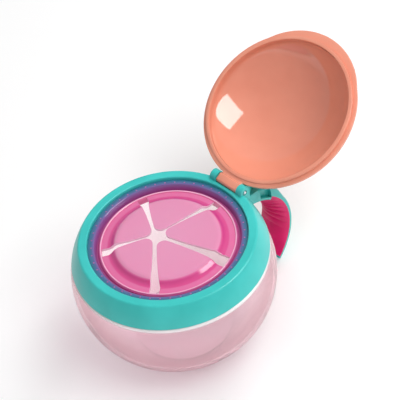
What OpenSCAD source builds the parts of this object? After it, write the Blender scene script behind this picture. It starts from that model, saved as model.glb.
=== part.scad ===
// Toddler snack container: a round bowl, a turn-on collar with a soft star of
// flaps and a hook handle, and a domed lid that swings back over the handle.
// Origin: centre of the bowl's foot. Hinge and handle are at +Y, Z is up.

/* [Bowl] */
// Largest outside radius of the bowl
bowl_r = 48.4; // [46.5:0.1:52]
// Radius of the curve that the side of the bowl follows
bowl_curve_r = 44.3; // [43:0.1:47]
// Height of the widest line of the bowl
belly_z = 39.9; // [36:0.1:42]
// Height of the shoulder that the collar covers
shoulder_z = 52.6; // [50:0.1:56]
// Wall of the bowl
bowl_wall = 1.8; // [1.4:0.1:2.4]
// Rounding of the shoulder's outer edge
shoulder_round = 1; // [0.4:0.1:1.4]
// Thickness of the bowl's floor
floor_t = 2.4; // [1.6:0.1:4]
// Radius of the flat foot
foot_r = 24.4; // [23.5:0.1:28]
// Height of the straight edge of the foot
foot_h = 0.8; // [0.4:0.1:1.5]

/* [Neck and turning lock] */
// Outside radius of the bowl's neck
neck_r = 39.6; // [39.2:0.1:40]
// Wall of the neck
neck_wall = 1.9; // [1.4:0.1:2.1]
// Height of the neck above the shoulder
neck_h = 7.3; // [6.8:0.1:7.4]
// Number of locking lugs round the neck
lug_n = 3; // [2:1:4]
// Length of each lug round the neck, in degrees
lug_arc = 24; // [16:1:30]
// Height of a lug
lug_h = 1.6; // [1.2:0.1:1.8]
// How far a lug stands off its wall
lug_d = 1.0; // [0.7:0.1:1.1]
// Running gap between the collar and the neck
lock_gap = 0.3; // [0.2:0.05:0.4]

/* [Collar] */
// Radius of the collar's bulging outer curve
collar_curve_r = 40; // [38:0.1:43]
// Height of the collar from its lower edge to its rim
collar_h = 10.8; // [10.6:0.1:12]
// Wall of the collar's skirt
collar_wall = 2.0; // [1.5:0.1:2.2]
// Gap between the bowl's shoulder and the collar
shoulder_gap = 0.4; // [0.2:0.05:0.8]
// Radius of the opening inside the rim
mouth_r = 37.6; // [37.3:0.1:38.2]
// Depth of the step from the rim down to the ledge
step_h = 2.0; // [1.9:0.1:2.4]
// Thickness of the ledge that carries the flap ring
ledge_t = 1.6; // [1.2:0.1:1.8]
// Outside radius of the wall that hangs from the ledge
plug_r = 36.9; // [36.6:0.1:37.1]
// Thickness of that wall
plug_wall = 1.3; // [1:0.1:1.5]
// Depth of that wall below the ledge
plug_h = 5.3; // [4.6:0.1:6]
// Rounding of the rim's outer edge
rim_round = 1.2; // [0.8:0.1:1.4]
// Rounding of the rim's inner edge
lip_round = 0.6; // [0.3:0.1:0.8]

/* [Lid hinge] */
// Distance of the hinge pin from the bowl's axis
hinge_y = 41.6; // [41.4:0.1:42.4]
// Height of the hinge pin above the rim
hinge_up = 0.7; // [0.4:0.1:1.2]
// Radius of the hinge pin
pin_r = 1.0; // [0.8:0.1:1.2]
// Running gap round the pin in the lid
pin_gap = 0.06; // [0.03:0.01:0.09]
// Gap round the pin in the ears, where it is driven in
ear_pin_gap = 0.02; // [0.01:0.01:0.04]
// Outside radius of the lid's hinge barrel
barrel_r = 2.4; // [2.2:0.1:2.8]
// Width of the hinge barrel
barrel_w = 12.6; // [10:0.2:13.4]
// Gap beside the barrel and round it
barrel_gap = 0.35; // [0.25:0.05:0.5]
// Radius of the ears round the pin
ear_r = 2.9; // [2.7:0.1:3.4]
// Thickness of each ear
ear_t = 3.5; // [2.6:0.1:4]
// Angle through which the open lid has swung
open_angle = 153.5; // [140:0.5:158]

/* [Lid] */
// Radius of the lid's flange
flange_r = 39.2; // [38.8:0.1:39.8]
// Thickness of the flange
flange_t = 1.5; // [1.2:0.1:2]
// Gap between the closed flange and the collar's rim
flange_gap = 0.1; // [0.05:0.05:0.3]
// Outside radius of the skirt that plugs the opening
skirt_r = 37.3; // [36.8:0.1:37.4]
// Thickness of the skirt
skirt_t = 1.7; // [1.3:0.1:2.2]
// Depth of the skirt below the flange
skirt_h = 1.7; // [1:0.1:1.8]
// Radius of the dome where it leaves the flange
dome_r = 37.7; // [36.8:0.1:38.4]
// Height of the dome above the flange
dome_h = 21.2; // [18:0.1:26]
// Wall at the top of the dome
dome_wall = 1.8; // [1.4:0.1:2.4]
// How far the thumb lip reaches beyond the flange
thumb_d = 2.4; // [1.6:0.1:4]
// Half the angle that the thumb lip spans
thumb_arc = 46; // [35:1:60]

/* [Flap ring] */
// Height of the flat top above the ledge
disc_up = 0.9; // [0.2:0.1:1.4]
// Thickness of the soft flaps and of the band round them
flap_t = 1.2; // [0.9:0.1:1.5]
// Radius at which the flat top starts to curve down
crest_r = 22.9; // [22.6:0.1:23.6]
// Radius of the curve at the edge of the flat top
crest_curve = 4.4; // [4:0.1:5]
// Steepest slope of the band, in degrees
band_lean = 45; // [38:1:48]
// Radius of the hollow curve at the foot of the band
valley_curve = 3.6; // [3:0.1:4]
// Slope of the shelf outside the band, in degrees
shelf_lean = 5; // [3:1:8]
// Outer radius of the shelf
brow_r = 32; // [31.8:0.1:32.6]
// Rounding of the shelf's outer edge
brow_round = 0.6; // [0.3:0.1:0.8]
// Depth of the groove below the ledge
groove_d = 4; // [3.4:0.1:4.2]
// Thickness of the groove's walls
groove_t = 1.2; // [0.8:0.1:1.2]
// Thickness of the film that laps over the ledge
film_t = 0.4; // [0.3:0.05:0.6]

/* [Star of flaps] */
// Number of flaps
flap_n = 5; // [4:1:5]
// Direction of the first slot, in degrees from +X
slot_angle = 15; // [0:1:30]
// Sideways place of the star's hub
hub_x = -6.4; // [-8:0.1:3]
// Front to back place of the star's hub
hub_y = -2; // [-4:0.1:3]
// Distance of the slots' ends from the axis
slot_end_r = 28.4; // [28:0.1:28.8]
// Width of a slot near the hub
slot_w = 1.6; // [1:0.1:2]
// Width of a slot at its flared outer end
flare_w = 4.6; // [3.5:0.1:5]
// Rounding of each flap's tip
tip_r = 3.4; // [2:0.1:4]
// Distance of the flaps' bending lines from the axis
bend_r = 20.4; // [19.6:0.1:20.6]
// Gap along each bending line
bend_gap = 0.4; // [0.3:0.05:0.5]

/* [Handle] */
// Radius of the hook's back
hook_r = 31.6; // [30.5:0.1:33]
// Distance of the hook's centre from the bowl's axis
hook_y = 38.3; // [37.5:0.1:40]
// Height of the hook's centre
hook_z = 25.5; // [25.3:0.1:28]
// Angle below level at which the hook ends
hook_end_angle = 50; // [38:1:51]
// Radius of the elbow at the top of the handle
elbow_r = 20.9; // [20:0.1:21.4]
// Distance of the elbow's centre from the bowl's axis
elbow_y = 45; // [44.4:0.1:45.8]
// Height of the elbow's centre
elbow_z = 37.5; // [36.8:0.1:38]
// Width of the handle
handle_w = 18.2; // [15:0.2:20]
// Thickness of the hook's back strip
spine_t = 2.1; // [1.6:0.1:2.5]
// Rounding along the back of the handle
handle_round = 1.5; // [0.8:0.1:2]
// Thickness of the arm's lower flange
flange_low_t = 1.9; // [1.4:0.1:2.1]
// Wall round the pockets in the arm's sides
pocket_wall = 1.2; // [0.9:0.1:1.6]
// Depth of the pockets
pocket_d = 2.2; // [1:0.1:2.6]
// Length of the pockets
pocket_l = 6.8; // [4:0.1:7.2]
// Distance of the seam between arm and collar from the bowl's axis
seam_y = 50.5; // [50:0.1:51.5]
// Width of the tongue inside the arm
tongue_w = 8; // [6:0.2:9]
// Height of the tongue
tongue_h = 2; // [1.2:0.1:2.2]
// Length of the tongue
tongue_l = 3; // [2:0.1:3.2]
// Gap round the tongue
tongue_gap = 0.15; // [0.1:0.05:0.25]

/* [Grip] */
// Thickness of the soft grip on the inside of the hook
grip_t = 4; // [3:0.1:4.6]
// Fullness of the grip's section: 1 is a wedge and 2 is an ellipse
grip_full = 1.6; // [1.3:0.1:2]
// Angle above level at which the grip starts
grip_top_angle = 46; // [40:1:50]
// Number of ribs across the grip
rib_n = 7; // [3:1:9]
// Angle between two ribs
rib_step_angle = 9; // [6:0.5:10]
// Angle that one rib spans
rib_angle = 4; // [2:0.5:5]
// Angle between the grip's upper end and its first rib
rib_start_angle = 6; // [4:0.5:8]
// How far the ribs stand off the grip
rib_h = 0.7; // [0.3:0.1:1]
// Width of the hard core inside the grip
core_w = 6; // [4:0.2:7]
// Depth of the hard core
core_d = 2; // [1:0.1:2.6]

/* [Hidden] */
$fn = 96;

// Cuts run past the faces that they open by this much
past = 1;
// Two solids of one piece sink into each other by this much where they join
sink = 0.4;
// Where one curved face takes over from another it lies this much deeper
hair = 0.05;

// Bowl: the side is an arc whose centre is off the axis
bowl_curve_x = bowl_r - bowl_curve_r;
neck_top = shoulder_z + neck_h;
neck_in_r = neck_r - neck_wall;

// The collar's lower edge is flush with the bowl's shoulder
collar_low_r = bowl_curve_x + sqrt(pow(bowl_curve_r, 2) - pow(shoulder_z - belly_z, 2));
// Collar heights, from the lower edge upwards
collar_low_z = shoulder_z + shoulder_gap;
rim_z = collar_low_z + collar_h;
ledge_z = rim_z - step_h;
ledge_low_z = ledge_z - ledge_t;
// Inner face of the wall that the neck's lugs turn in
lock_wall_r = neck_r + lug_d + lock_gap;
lock_wall_t = 1.3;
lock_wall_up = 1.2;
lock_wall_low = collar_low_z + lock_wall_up;
collar_lug_low = lock_wall_low + lock_gap;
collar_lug_r = neck_r + lock_gap;
neck_lug_low = collar_lug_low + lug_h + lock_gap;

// Centre of the collar's outer curve: it passes through the lower edge and
// bulges out past that edge by bulge_out, seen along a line that leans by lean
lean = 43.6;
bulge_out = 4.71;
lean_reach = collar_low_r * cos(lean) + collar_low_z * sin(lean) + bulge_out;
curve_a = lean_reach - collar_curve_r;
lean_p = collar_low_r - curve_a * cos(lean);
lean_q = collar_low_z - curve_a * sin(lean);
// The centre lies curve_s along the leaning line from the foot of curve_a
curve_b = -lean_p * sin(lean) + lean_q * cos(lean);
curve_c = lean_p * lean_p + lean_q * lean_q - collar_curve_r * collar_curve_r;
curve_s = curve_b + sqrt(curve_b * curve_b - curve_c);
curve_x = curve_a * cos(lean) - curve_s * sin(lean);
curve_z = curve_a * sin(lean) + curve_s * cos(lean);

// Lid hinge
hinge_z = rim_z + hinge_up;
barrel_bore_r = pin_r + pin_gap;
ear_bore_r = pin_r + ear_pin_gap;
ear_in_x = barrel_w / 2 + barrel_gap;
ear_out_x = ear_in_x + ear_t;
// The ears reach down to this depth below the ledge
ear_root = 3.2;
// Web behind the ears: its thickness, how far its top stays below the pin,
// and its depth below the ledge
stop_t = 3.4;
stop_drop = 0.5;
stop_root = 5;

// Lid, in its closed place
flange_z = rim_z + flange_gap;
flange_top = flange_z + flange_t;
dome_out_r = cap_radius(dome_r, dome_h);
dome_out_z = flange_top + dome_h - dome_out_r;
dome_in_base = skirt_r - skirt_t;
dome_in_h = flange_top + dome_h - dome_wall - flange_z;
dome_in_r = cap_radius(dome_in_base, dome_in_h);
dome_in_z = flange_z + dome_in_h - dome_in_r;
// Centre and radius of the disc whose edge makes the thumb lip
thumb_py = flange_r * cos(thumb_arc);
thumb_reach = flange_r + thumb_d;
thumb_c = (thumb_reach * thumb_reach - flange_r * flange_r) / (2 * (thumb_reach - thumb_py));
thumb_r = thumb_reach - thumb_c;
// Tab between the flange and the barrel, and its depth inside the flange
tab_t = 1.9;
tab_root = 3.4;

// Flap ring heights and radii
disc_z = ledge_z + disc_up;
groove_z = ledge_z - groove_d;
plug_in_r = plug_r - plug_wall;
bend_z = disc_z - flap_t / 2;
// The band: a round crest runs straight into a hollow valley, then the shelf
crest_c = [crest_r, disc_z - crest_curve];
valley_c = crest_c + (crest_curve + valley_curve) * turned(90 - band_lean);
shelf_in = valley_c + valley_curve * turned(270 - shelf_lean);
brow_z = shelf_in[1] - (brow_r - shelf_in[0]) * tan(shelf_lean);
// The slots widen outwards with this power of the share of their length
flare_power = 3;
// The flared slots cut this far beyond their ends, down the band
slot_run = 2.8;
// The film stops this far inside the ledge's corner, and the groove's inner
// wall leans out by groove_lean
lap_edge = 0.1;
groove_lean = 0.4;

// Handle: a straight run touches both the hook's and the elbow's circle
hook_c = [hook_y, hook_z];
elbow_c = [elbow_y, elbow_z];
arm_vec = elbow_c - hook_c;
arm_d = norm(arm_vec);
arm_dir = atan2(arm_vec[1], arm_vec[0]);
touch_angle = arm_dir - acos((hook_r - elbow_r) / arm_d);
run_l = sqrt(arm_d * arm_d - (hook_r - elbow_r) * (hook_r - elbow_r));
spine_in_r = hook_r - spine_t;
arm_low_r = spine_in_r - flange_low_t;
// The stub starts this far behind the elbow's centre
stub_back = 4;
// Wall between the seam and a pocket
pocket_edge = 1.0;
// The tongue stands this much above the lower edge of the arm at the seam
tongue_up = 1.1;
tongue_z = hook_z + sqrt(pow(arm_low_r, 2) - pow(seam_y - hook_y, 2)) + tongue_up;

function cap_radius(base, high) = (base * base + high * high) / (2 * high);
function turned(a) = [cos(a), sin(a)];
// Points of an arc of radius r about c, from one angle to another
function arc_points(c, r, from_a, to_a, steps) =
  [for (k = [0 : steps]) c + r * turned(from_a + (to_a - from_a) * k / steps)];

// Revolves the children round the bowl's axis
module turned_solid() {
  rotate_extrude() children();
}

// Turns a section round an axis along X at y, z, from one angle to another;
// the section's x is the distance from that axis and its y lies along X
module swept(y, z, from_a, to_a) {
  translate([0, y, z])
    rotate([90, 0, 90])
      rotate_extrude(angle = to_a - from_a, start = from_a) children();
}

// Extrudes a side outline, drawn in Y and Z, evenly about the middle
module side_plate(w) {
  translate([-w / 2, 0, 0])
    rotate([90, 0, 90]) linear_extrude(w) children();
}

// Swings what is drawn in the closed lid's place to the open lid's place
module opened() {
  translate([0, hinge_y, hinge_z])
    rotate([-open_angle, 0, 0])
      translate([0, -hinge_y, -hinge_z]) children();
}

// A round bar along X
module cross_bar(r, w, y, z) {
  translate([-w / 2, y, z]) rotate([0, 90, 0]) cylinder(r = r, h = w);
}

// Equal lugs round the axis, as parts of a ring
module lugs(r_in, r_out, low, turn) {
  for (i = [0 : lug_n - 1])
    rotate([0, 0, turn + i * 360 / lug_n])
      rotate_extrude(angle = lug_arc, start = -lug_arc / 2)
        translate([r_in, low]) square([r_out - r_in, lug_h]);
}

module bowl_side(inset, low, high) {
  intersection() {
    translate([bowl_curve_x, belly_z]) circle(r = bowl_curve_r - inset);
    translate([0, low]) square([bowl_r + past, high - low]);
  }
}

// Where a curve of radius big about c is left for the rounding r that ends at
// height top: the angle of that point about c
function leave_angle(c, big, r, top) = asin((top - r - c[1]) / (big - r));

// The rounded top of a wall whose outer side is a curve of radius big about c
module rounded_top(c, big, r, top, in_r) {
  a = leave_angle(c, big, r, top);
  mid = [c[0] + (big - r) * cos(a) - hair, top - r];
  polygon(concat(
    [[in_r, mid[1] - sink], [mid[0], mid[1] - sink]],
    arc_points(mid, r, a, 90, 6),
    [[in_r, top]]
  ));
}

module bowl() {
  side_c = [bowl_curve_x, belly_z];
  leave = leave_angle(side_c, bowl_curve_r, shoulder_round, shoulder_z);
  color([0.93, 0.74, 0.79, 0.6]) {
    turned_solid() {
      difference() {
        union() {
          bowl_side(0, 0, belly_z + bowl_curve_r * sin(leave));
          rounded_top(side_c, bowl_curve_r, shoulder_round, shoulder_z, neck_in_r);
          square([foot_r, foot_h]);
          translate([0, belly_z]) square([neck_r, neck_top - belly_z]);
        }
        bowl_side(bowl_wall, floor_t, shoulder_z - bowl_wall);
        translate([0, belly_z]) square([neck_in_r, neck_top - belly_z + past]);
      }
    }
    lugs(neck_r - sink, neck_r + lug_d, neck_lug_low, 0);
  }
}

// The collar's bulging outer disc, drawn in by inset
module collar_bulge(inset) {
  translate([curve_x, curve_z]) circle(r = collar_curve_r - inset);
}

// Section of the collar without ears, stub and lugs
module collar_section() {
  curve_c = [curve_x, curve_z];
  leave = leave_angle(curve_c, collar_curve_r, rim_round, rim_z);
  touch_z = curve_z + collar_curve_r * sin(leave);
  lip_x = mouth_r + lip_round;
  // Skirt: the bulge less its hollow, which ends under the ledge
  difference() {
    intersection() {
      collar_bulge(0);
      translate([0, collar_low_z]) square([bowl_r, ledge_z - collar_low_z]);
    }
    intersection() {
      collar_bulge(collar_wall);
      translate([0, collar_low_z - past])
        square([bowl_r, ledge_low_z - collar_low_z + past]);
    }
    square([plug_in_r, rim_z]);
  }
  // Rim above the ledge, rounded at both edges
  intersection() {
    collar_bulge(0);
    translate([lip_x, ledge_z - sink]) square([bowl_r, touch_z - ledge_z + sink]);
  }
  rounded_top(curve_c, collar_curve_r, rim_round, rim_z, lip_x);
  polygon(concat(
    [[mouth_r, ledge_z - sink], [lip_x + sink, ledge_z - sink], [lip_x + sink, rim_z]],
    arc_points([lip_x, rim_z - lip_round], lip_round, 90, 180, 4)
  ));
  // Wall that hangs inside the neck and carries the flap ring
  translate([plug_in_r, ledge_z - plug_h]) square([plug_wall, plug_h]);
  // Wall that carries the locking lugs
  translate([lock_wall_r, lock_wall_low])
    square([lock_wall_t, ledge_z - lock_wall_low]);
}

// Outline of the handle's back: hook from level upwards, straight run and elbow
module handle_outline(inset) {
  polygon(concat(
    [hook_c],
    arc_points(hook_c, hook_r - inset, 0, touch_angle, 8),
    arc_points(elbow_c, elbow_r - inset, touch_angle, 125, 34)
  ));
}

// Side outline of the arm, from one distance to another
module arm_outline(from_y, to_y) {
  difference() {
    intersection() {
      handle_outline(0);
      translate([from_y, hook_z]) square([to_y - from_y, 2 * elbow_r]);
    }
    translate(hook_c) circle(r = arm_low_r);
  }
}

// One ear, with its root on the collar
module ear_outline() {
  root_z = ledge_z - ear_root;
  front_y = hinge_y - ear_r + sink;
  translate([hinge_y, hinge_z]) circle(r = ear_r);
  translate([hinge_y, root_z]) square([ear_r, hinge_z - root_z]);
  translate([front_y, ledge_low_z]) square([ear_r, hinge_z - ledge_low_z]);
}

// Web behind the ears, hollowed to seat the dome of the open lid
module lid_stop() {
  stop_low = ledge_z - stop_root;
  stop_y = hinge_y + barrel_r + 2 * barrel_gap;
  difference() {
    side_plate(2 * ear_in_x + 2 * sink)
      translate([stop_y, stop_low]) square([stop_t, hinge_z - stop_drop - stop_low]);
    opened() translate([0, 0, dome_out_z]) sphere(r = dome_out_r + barrel_gap);
  }
}

module collar() {
  color("mediumturquoise")
  difference() {
    union() {
      turned_solid() collar_section();
      lugs(collar_lug_r, lock_wall_r + sink, collar_lug_low, 0);
      for (side = [-1, 1])
        translate([side * (ear_in_x + ear_t / 2), 0, 0])
          side_plate(ear_t) ear_outline();
      lid_stop();
      difference() {
        side_plate(handle_w) arm_outline(elbow_y - stub_back, seam_y);
        // The stub grows out of the collar's outer face and clears the bowl
        turned_solid()
          intersection() {
            collar_bulge(sink);
            translate([0, collar_low_z - past]) square([bowl_r, collar_h]);
          }
        cylinder(r = collar_low_r + shoulder_gap, h = collar_low_z);
      }
      translate([-tongue_w / 2, seam_y - sink, tongue_z])
        cube([tongue_w, tongue_l + sink, tongue_h]);
    }
    // Room for the barrel, and the bores that the pin is driven into
    cross_bar(barrel_r + barrel_gap, 2 * ear_in_x, hinge_y, hinge_z);
    cross_bar(ear_bore_r, 2 * ear_out_x + 2 * past, hinge_y, hinge_z);
  }
}

// Section of the handle's back strip: square inside, rounded outside
module spine_section(inset) {
  half = handle_w / 2;
  back_x = hook_r - handle_round;
  round_r = handle_round - inset;
  polygon(concat(
    [[spine_in_r + inset, inset - half]],
    arc_points([back_x, handle_round - half], round_r, -90, 0, 6),
    arc_points([back_x, half - handle_round], round_r, 0, 90, 6),
    [[spine_in_r + inset, half - inset]]
  ));
}

// Section of the hard core that the grip is moulded round
module core_section() {
  translate([spine_in_r - core_d, -core_w / 2]) square([core_d + sink, core_w]);
}

module handle() {
  low = -hook_end_angle;
  seam_angle = acos((seam_y - elbow_y) / elbow_r);
  color("mediumturquoise")
  difference() {
    union() {
      // Back strip: hook, straight run and elbow
      swept(hook_y, hook_z, low, touch_angle) spine_section(0);
      translate([0, hook_y, hook_z])
        rotate([90, 0, 90])
          rotate([0, 0, touch_angle])
            translate([0, run_l + past, 0])
              rotate([90, 0, 0]) linear_extrude(run_l + 2 * past) spine_section(hair);
      swept(elbow_y, elbow_z, touch_angle, seam_angle)
        translate([elbow_r - hook_r, 0]) spine_section(0);
      // Arm between the back strip and the grip, with its lower flange
      side_plate(handle_w) arm_fill((handle_round + spine_t) / 2, spine_in_r);
      swept(hook_y, hook_z, grip_top_angle, 90)
        translate([arm_low_r, -handle_w / 2])
          square([flange_low_t + sink, handle_w]);
      swept(hook_y, hook_z, low + 2, grip_top_angle) core_section();
    }
    // Pockets in both sides of the arm
    for (side = [-1, 1])
      translate([side * (handle_w / 2 - pocket_d / 2 + past / 2), 0, 0])
        side_plate(pocket_d + past)
          intersection() {
            arm_fill(pocket_wall, arm_low_r + pocket_wall);
            translate([seam_y + pocket_edge, hook_z])
              square([pocket_l, 2 * elbow_r]);
          }
    // Everything on the collar's side of the seam, and the tongue's socket
    translate([-handle_w, 0, 0]) cube([2 * handle_w, seam_y, 2 * seam_y]);
    translate([-tongue_w / 2 - tongue_gap, seam_y - past, tongue_z - tongue_gap])
      cube([tongue_w + 2 * tongue_gap, tongue_l + past + tongue_gap, tongue_h + 2 * tongue_gap]);
  }
}

// Side outline of the arm's body, inset from the back and open below low_r
module arm_fill(inset, low_r) {
  difference() {
    intersection() {
      handle_outline(inset);
      translate([seam_y, hook_z]) square([elbow_r, 2 * elbow_r]);
    }
    translate(hook_c) circle(r = low_r);
  }
}

// Section of the grip: full width against the back strip, rounded at the fingers
module grip_section(proud) {
  steps = 14;
  power = 2 / grip_full;
  difference() {
    polygon([
      for (k = [0 : steps])
        let (a = 180 * k / steps, side = a < 90 ? 1 : -1)
          [
            spine_in_r - (grip_t + proud) * pow(sin(a), power),
            side * handle_w / 2 * pow(abs(cos(a)), power)
          ]
    ]);
    translate([spine_in_r - core_d, -core_w / 2]) square([core_d + past, core_w]);
  }
}

module grip() {
  low = -hook_end_angle;
  first_rib = grip_top_angle - rib_start_angle - rib_angle;
  color([0.8, 0.08, 0.4]) {
    swept(hook_y, hook_z, low + 2, grip_top_angle) grip_section(0);
    for (i = [0 : rib_n - 1])
      let (rib = first_rib - i * rib_step_angle)
        swept(hook_y, hook_z, rib, rib + rib_angle) grip_section(rib_h);
  }
}

// Direction of slot i, and the direction of the middle of flap i
function slot_dir(i) = slot_angle + i * 360 / flap_n;
function flap_dir(i) = slot_dir(i) + 180 / flap_n;
hub = [hub_x, hub_y];
function slot_vec(i) = slot_end_r * turned(slot_dir(i)) - hub;
function slot_unit(i) = slot_vec(i) / norm(slot_vec(i));
// Half the width of a slot, at a share q of its length
function slot_half(q) = slot_w / 2 + (flare_w - slot_w) / 2 * pow(q, flare_power);
// A point beside slot i, at a share q of its length
function slot_side(i, side, q) =
  hub + q * slot_vec(i)
  + side * slot_half(q) * [-slot_unit(i)[1], slot_unit(i)[0]];

// Outline of flap i before it is cut off at its bending line
function flap_points(i) =
  let (
    a0 = atan2(slot_unit(i)[1], slot_unit(i)[0]),
    turn = acos(slot_unit(i) * slot_unit(i + 1)),
    half = turn / 2,
    off = tip_r + slot_w / 2,
    centre = hub + off / sin(half) * turned(a0 + half),
    s0 = off / tan(half),
    q0 = s0 / norm(slot_vec(i)),
    q1 = s0 / norm(slot_vec(i + 1)),
    // The outline runs on past the slots' ends, to be cut off there
    qe = 1.06,
    steps = 10
  )
  concat(
    [for (k = [0 : steps]) slot_side(i, 1, qe - (qe - q0) * k / steps)],
    [for (k = [1 : steps - 1]) centre + tip_r * turned(a0 - 90 - (180 - turn) * k / steps)],
    [for (k = [0 : steps]) slot_side(i + 1, -1, q1 + (qe - q1) * k / steps)]
  );

// Section of the flaps: flat, then curving down with the crest of the band
module flap_section() {
  polygon(concat(
    [[0, disc_z]],
    arc_points(crest_c, crest_curve, 90, 90 - band_lean, 6),
    arc_points(crest_c, crest_curve - flap_t, 90 - band_lean, 90, 6),
    [[0, disc_z - flap_t]]
  ));
}

module flap(i) {
  low = disc_z - 2 * flap_t;
  color([0.91, 0.6, 0.75, 0.8])
  intersection() {
    turned_solid() flap_section();
    translate([0, 0, low]) linear_extrude(3 * flap_t) polygon(flap_points(i));
    rotate([0, 0, flap_dir(i)]) {
      translate([-slot_end_r, -slot_end_r, low])
        cube([slot_end_r + bend_r, 2 * slot_end_r, 3 * flap_t]);
      translate([bend_r, slot_end_r, bend_z])
        rotate([90, 0, 0]) cylinder(r = flap_t / 2, h = 2 * slot_end_r);
    }
  }
}

module flap_1() { flap(0); }
module flap_2() { flap(1); }
module flap_3() { flap(2); }
module flap_4() { flap(3); }
module flap_5() { flap(4); }

// The top of the crest, band and valley, or the same line t below it
function band_line(t) = concat(
  arc_points(crest_c, crest_curve - t, 90, 90 - band_lean, 6),
  [
    for (k = [1 : 5])
      valley_c + (valley_curve + t)
        * turned(270 - band_lean + (band_lean - shelf_lean) * k / 5)
  ]
);
function backwards(list) = [for (k = [1 : len(list)]) list[len(list) - k]];

// Section of the soft ring, from the flat top out to the film on the ledge
module ring_section() {
  wall_r = plug_in_r - groove_t;
  foot_in_r = brow_r + groove_lean;
  lap_r = plug_r - lap_edge;
  under = groove_z - groove_t;
  round_c = [brow_r - brow_round, brow_z - brow_round * (1 - tan(shelf_lean))];
  polygon(concat(
    [[bend_r, disc_z]],
    band_line(0),
    arc_points(round_c, brow_round, 90 - shelf_lean, 0, 4),
    [
      [foot_in_r, groove_z],
      [wall_r, groove_z],
      [wall_r, ledge_z + film_t],
      [lap_r, ledge_z + film_t],
      [lap_r, ledge_z],
      [plug_in_r, ledge_z],
      [plug_in_r, under],
      [foot_in_r - groove_t, under],
      [brow_r - flap_t, brow_z - flap_t]
    ],
    backwards(band_line(flap_t)),
    [[bend_r, disc_z - flap_t]]
  ));
}

module flap_ring() {
  cut = bend_r + flap_t / 2 + bend_gap;
  // Share of a slot's length from which the ring is cut open
  q = 0.7;
  low = groove_z - groove_t - past;
  color([0.85, 0.35, 0.6, 0.8])
  difference() {
    turned_solid() ring_section();
    // The flat top ends at the bending lines
    translate([0, 0, low])
      linear_extrude(rim_z - low)
        polygon([for (i = [0 : flap_n - 1]) cut / cos(180 / flap_n) * turned(slot_dir(i))]);
    // The flared slots run on down the band
    translate([0, 0, brow_z - 2 * flap_t])
      linear_extrude(rim_z - brow_z + 2 * flap_t)
        for (i = [0 : flap_n - 1])
          polygon([
            slot_side(i, 1, q),
            slot_side(i, -1, q),
            slot_side(i, -1, 1),
            slot_side(i, -1, 1) + slot_run * turned(slot_dir(i)),
            slot_side(i, 1, 1) + slot_run * turned(slot_dir(i)),
            slot_side(i, 1, 1)
          ]);
  }
}

module hinge_pin() {
  color("silver") cross_bar(pin_r, 2 * ear_out_x, hinge_y, hinge_z);
}

module dome_section() {
  difference() {
    union() {
      intersection() {
        translate([0, dome_out_z]) circle(r = dome_out_r);
        translate([0, flange_z]) square([flange_r, dome_h + 2 * flange_t]);
      }
      translate([0, flange_z - skirt_h]) square([skirt_r, skirt_h + flange_t]);
    }
    translate([0, flange_z - skirt_h - past])
      square([dome_in_base, skirt_h + past]);
    intersection() {
      translate([0, dome_in_z]) circle(r = dome_in_r);
      translate([0, flange_z]) square([flange_r, dome_h + flange_t]);
    }
  }
}

module lid_closed() {
  ear_room = ear_r + barrel_gap;
  overcut = 0.01;
  difference() {
    union() {
      turned_solid() dome_section();
      // Flange and thumb lip, one flat rim with the dome rising from it
      difference() {
        translate([0, 0, flange_z]) {
          cylinder(r = flange_r, h = flange_t);
          translate([0, -thumb_c, 0]) cylinder(r = thumb_r, h = flange_t);
        }
        turned_solid()
          intersection() {
            translate([0, dome_in_z]) circle(r = dome_in_r);
            translate([0, flange_z - past]) square([flange_r, dome_h]);
          }
        translate([0, 0, flange_z - past])
          cylinder(r = dome_in_base, h = past + overcut);
      }
    }
    // Room for the ears and the barrel's tab beside the hinge
    cross_bar(ear_room, 2 * (ear_out_x + barrel_gap), hinge_y, hinge_z);
  }
  // Hinge barrel and the tab that joins it to the flange
  difference() {
    union() {
      cross_bar(barrel_r, barrel_w, hinge_y, hinge_z);
      translate([-barrel_w / 2, skirt_r - tab_root, flange_z])
        cube([barrel_w, hinge_y - skirt_r + tab_root, tab_t]);
    }
    cross_bar(barrel_bore_r, barrel_w + 2 * past, hinge_y, hinge_z);
    turned_solid()
      intersection() {
        translate([0, dome_in_z]) circle(r = dome_in_r);
        translate([0, flange_z]) square([flange_r, dome_h]);
      }
  }
}

module lid() {
  color([0.94, 0.6, 0.5]) opened() lid_closed();
}

bowl();
collar();
handle();
grip();
flap_ring();
hinge_pin();
lid();
flap_1();
flap_2();
flap_3();
flap_4();
flap_5();
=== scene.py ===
import math

import bmesh
import bpy
from mathutils import Matrix, Vector


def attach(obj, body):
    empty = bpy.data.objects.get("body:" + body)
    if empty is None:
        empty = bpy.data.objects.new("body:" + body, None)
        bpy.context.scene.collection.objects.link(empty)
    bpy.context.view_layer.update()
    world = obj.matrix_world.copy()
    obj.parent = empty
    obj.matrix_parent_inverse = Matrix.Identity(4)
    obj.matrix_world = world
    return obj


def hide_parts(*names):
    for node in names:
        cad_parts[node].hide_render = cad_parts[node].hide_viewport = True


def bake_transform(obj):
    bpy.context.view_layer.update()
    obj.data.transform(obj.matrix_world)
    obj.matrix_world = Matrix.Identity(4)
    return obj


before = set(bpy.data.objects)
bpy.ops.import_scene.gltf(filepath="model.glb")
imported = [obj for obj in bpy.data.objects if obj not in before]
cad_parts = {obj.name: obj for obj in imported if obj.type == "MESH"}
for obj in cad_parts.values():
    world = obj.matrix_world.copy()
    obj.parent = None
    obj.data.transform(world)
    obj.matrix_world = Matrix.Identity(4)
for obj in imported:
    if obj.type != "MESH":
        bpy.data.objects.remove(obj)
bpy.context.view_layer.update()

# Bowl: one clear moulding, tinted pale pink all through. It is a tough
# copolyester, injection moulded in a polished tool, so it is smooth inside and
# out; the neck under the collar is part of it.
mm = 0.001
bowl_top_z = 59.9
# Heights where the shoulder is painted white as a highlight line
shoulder_highlight_low, shoulder_highlight_high = 50.9, 51.4
swirl_mm, swirl_depth = 22, 1.5
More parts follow.
